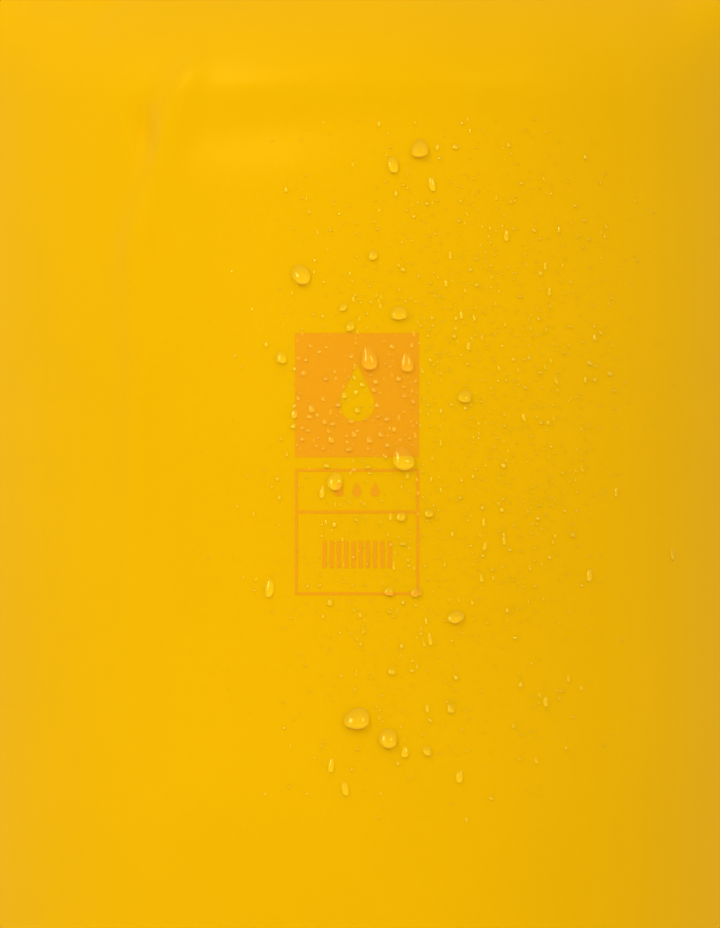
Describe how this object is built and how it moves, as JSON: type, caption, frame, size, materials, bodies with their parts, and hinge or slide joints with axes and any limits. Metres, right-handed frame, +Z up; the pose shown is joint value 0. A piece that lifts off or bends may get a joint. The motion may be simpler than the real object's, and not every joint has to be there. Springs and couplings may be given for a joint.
{
  "type": "roll-top tail bag",
  "caption": "Upright roll-top waterproof bag with a clipped roll closure, welded seam and base, and webbing lash loops and D-rings down both sides.",
  "frame": {"origin": "centre of the base, on the surface the bag stands on", "axes": "+Z up along the bag, -Y out of the printed front, +X to the plug side of the buckle"},
  "size_m": [0.2214, 0.202, 0.46],
  "materials": {
    "coated_fabric": "coated polyester tarpaulin, satin, fine embossed texture",
    "rolled_fabric": "the same coated fabric, rolled in loose layers",
    "stiffener": "translucent polymer strip",
    "webbing": "woven polyester webbing",
    "buckle": "moulded acetal, fine spark texture",
    "ring": "nickel-plated wire",
    "print_ink": "screen print"
  },
  "bodies": {
    "bag": {"body_tube": "coated_fabric", "shoulder": "coated_fabric", "base_panel": "coated_fabric", "base_band": "coated_fabric", "back_seam": "coated_fabric", "side_patch_left": "coated_fabric", "side_patch_right": "coated_fabric", "lash_strip_left": "webbing", "lash_strip_right": "webbing", "ring_keeper_left_lower": "webbing", "ring_keeper_left_upper": "webbing", "ring_keeper_right_lower": "webbing", "ring_keeper_right_upper": "webbing", "roll_middle": "rolled_fabric", "strip_middle": "stiffener", "print_square": "print_ink", "print_frame": "print_ink", "print_icons": "print_ink", "print_scale": "print_ink"},
    "left_end": {"roll_left_end": "rolled_fabric", "strip_left": "stiffener", "webbing_tab_left": "webbing"},
    "right_end": {"roll_right_end": "rolled_fabric", "strip_right": "stiffener", "webbing_tab_right": "webbing"},
    "socket": {"buckle_socket": "buckle"},
    "plug": {"buckle_plug": "buckle"},
    "prong_front": {"prong_front": "buckle"},
    "prong_rear": {"prong_rear": "buckle"},
    "ring_left_lower": {"d_ring_left_lower": "ring"},
    "ring_left_upper": {"d_ring_left_upper": "ring"},
    "ring_right_lower": {"d_ring_right_lower": "ring"},
    "ring_right_upper": {"d_ring_right_upper": "ring"}
  },
  "joints": [
    {"name": "closure_open", "type": "hinge", "parent": "bag", "child": "left_end", "pos_m": [-0.085, 0, 0.358], "axis": [0, -1, 0], "range_deg": [0, 50], "deforming": ["prong_front", "prong_rear"]},
    {"name": "right_end_open", "type": "hinge", "parent": "bag", "child": "right_end", "pos_m": [0.085, 0, 0.358], "axis": [0, 1, 0], "range_deg": [0, 50]},
    {"name": "socket_tilt", "type": "hinge", "parent": "left_end", "child": "socket", "pos_m": [-0.031, 0, 0.455], "axis": [0, 1, 0], "range_deg": [0, 50]},
    {"name": "plug_tilt", "type": "hinge", "parent": "right_end", "child": "plug", "pos_m": [0.031, 0, 0.455], "axis": [0, -1, 0], "range_deg": [0, 50]},
    {"name": "prongs_squeeze", "type": "hinge", "parent": "plug", "child": "prong_front", "pos_m": [0.013, -0.00875, 0.455], "axis": [0, 0, -1], "range_deg": [0, 11], "stiffness_Nm_per_rad": 0.05},
    {"name": "prong_rear_squeeze", "type": "hinge", "parent": "plug", "child": "prong_rear", "pos_m": [0.013, 0.00875, 0.455], "axis": [0, 0, 1], "range_deg": [0, 11], "stiffness_Nm_per_rad": 0.05},
    {"name": "ring_left_lower_swing", "type": "hinge", "parent": "bag", "child": "ring_left_lower", "pos_m": [-0.107, 0, 0.07], "axis": [0, 1, 0], "range_deg": [0, 150]},
    {"name": "ring_left_upper_swing", "type": "hinge", "parent": "bag", "child": "ring_left_upper", "pos_m": [-0.107, 0, 0.222], "axis": [0, 1, 0], "range_deg": [0, 150]},
    {"name": "ring_right_lower_swing", "type": "hinge", "parent": "bag", "child": "ring_right_lower", "pos_m": [0.107, 0, 0.07], "axis": [0, -1, 0], "range_deg": [0, 150]},
    {"name": "ring_right_upper_swing", "type": "hinge", "parent": "bag", "child": "ring_right_upper", "pos_m": [0.107, 0, 0.222], "axis": [0, -1, 0], "range_deg": [0, 150]}
  ],
  "couplings": [
    {"joint": "right_end_open", "follows": "closure_open", "ratio": 1},
    {"joint": "socket_tilt", "follows": "closure_open", "ratio": 1},
    {"joint": "plug_tilt", "follows": "closure_open", "ratio": 1},
    {"joint": "prong_rear_squeeze", "follows": "prongs_squeeze", "ratio": 1}
  ]
}
